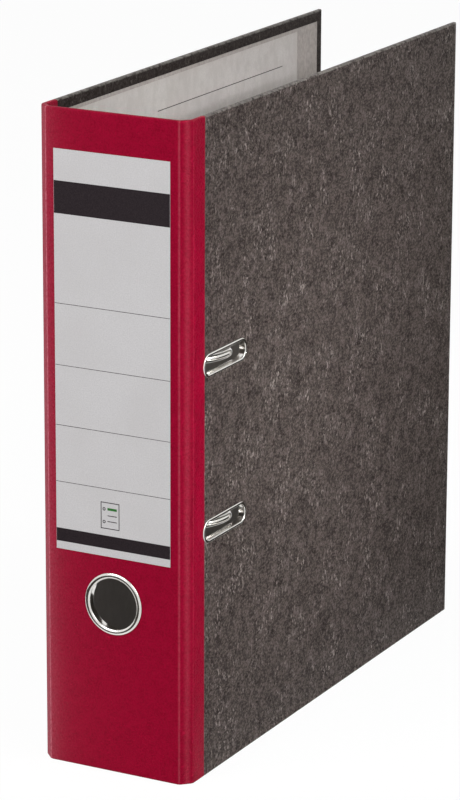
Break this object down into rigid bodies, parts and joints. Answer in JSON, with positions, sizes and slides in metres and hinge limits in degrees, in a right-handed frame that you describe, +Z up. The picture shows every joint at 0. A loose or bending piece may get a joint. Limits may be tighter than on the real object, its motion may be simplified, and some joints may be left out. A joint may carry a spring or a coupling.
{
  "type": "lever arch file",
  "caption": "Closed lever arch file for A4 sheets: paper-covered board case with creased joints, finger ring, slotted front cover, and a lever-worked arch mechanism inside the back cover.",
  "frame": {"origin": "middle of the file's footprint, at the bottom edge it stands on", "axes": "+Z up along the spine, +Y from the spine to the covers' fore edges, +X from the back cover to the front cover"},
  "size_m": [0.0812, 0.2858, 0.318],
  "materials": {
    "grey_board": "matte",
    "red_paper": "satin",
    "marbled_paper": "satin",
    "lining_paper": "matte",
    "pale_paper": "matte",
    "label_paper": "satin",
    "bright_metal": "polished",
    "nickelled_steel": "satin"
  },
  "bodies": {
    "spine": {"spine_board": "grey_board", "spine_paper": "red_paper", "spine_lining": "lining_paper", "spine_label": "label_paper", "finger_ring": "bright_metal"},
    "front_joint": {"front_joint_board": "grey_board", "front_joint_paper": "red_paper", "front_joint_lining": "lining_paper"},
    "front_cover": {"front_cover_board": "grey_board", "front_cover_paper": "marbled_paper", "front_cover_margin": "red_paper", "front_cover_lining": "lining_paper", "slot_eyelet_upper": "bright_metal", "slot_eyelet_lower": "bright_metal"},
    "back_joint": {"back_joint_board": "grey_board", "back_joint_paper": "red_paper", "back_joint_lining": "lining_paper"},
    "back_cover": {"back_cover_board": "grey_board", "back_cover_paper": "marbled_paper", "back_cover_margin": "red_paper", "back_cover_lining": "lining_paper", "index_sheet": "pale_paper", "base_plate": "nickelled_steel", "post_upper": "nickelled_steel", "post_lower": "nickelled_steel", "rivet_1": "nickelled_steel", "rivet_2": "nickelled_steel", "rivet_3": "nickelled_steel", "rivet_4": "nickelled_steel", "lever_pivot_pin": "nickelled_steel"},
    "arch": {"arch_wire": "bright_metal"},
    "lever": {"lever_arm": "nickelled_steel", "roller_pin": "nickelled_steel"},
    "roller": {"lever_roller": "nickelled_steel"}
  },
  "joints": [
    {"name": "front_inner_crease", "type": "hinge", "parent": "spine", "child": "front_joint", "pos_m": [0.035, -0.14205, 0.159], "axis": [0, 0, -1], "range_deg": [0, 45]},
    {"name": "front_outer_crease", "type": "hinge", "parent": "front_joint", "child": "front_cover", "pos_m": [0.04, -0.13705, 0.159], "axis": [0, 0, -1], "range_deg": [0, 45]},
    {"name": "back_inner_crease", "type": "hinge", "parent": "spine", "child": "back_joint", "pos_m": [-0.035, -0.14205, 0.159], "axis": [0, 0, 1], "range_deg": [0, 45]},
    {"name": "back_outer_crease", "type": "hinge", "parent": "back_joint", "child": "back_cover", "pos_m": [-0.04, -0.13705, 0.159], "axis": [0, 0, 1], "range_deg": [0, 45]},
    {"name": "lever_swing", "type": "hinge", "parent": "back_cover", "child": "lever", "pos_m": [-0.026, -0.10405, 0.159], "axis": [0, 0, 1], "range_deg": [0, 100]},
    {"name": "arch_swing", "type": "hinge", "parent": "back_cover", "child": "arch", "pos_m": [-0.0325, -0.12155, 0.159], "axis": [0, 0, 1], "range_deg": [-15, 0]},
    {"name": "roller_spin", "type": "hinge", "parent": "lever", "child": "roller", "pos_m": [-0.0267, -0.11255, 0.159], "axis": [0, 0, 1], "continuous": true}
  ],
  "couplings": [
    {"joint": "front_outer_crease", "follows": "front_inner_crease", "ratio": 1},
    {"joint": "back_outer_crease", "follows": "back_inner_crease", "ratio": 1},
    {"joint": "arch_swing", "follows": "lever_swing", "ratio": -0.15}
  ]
}
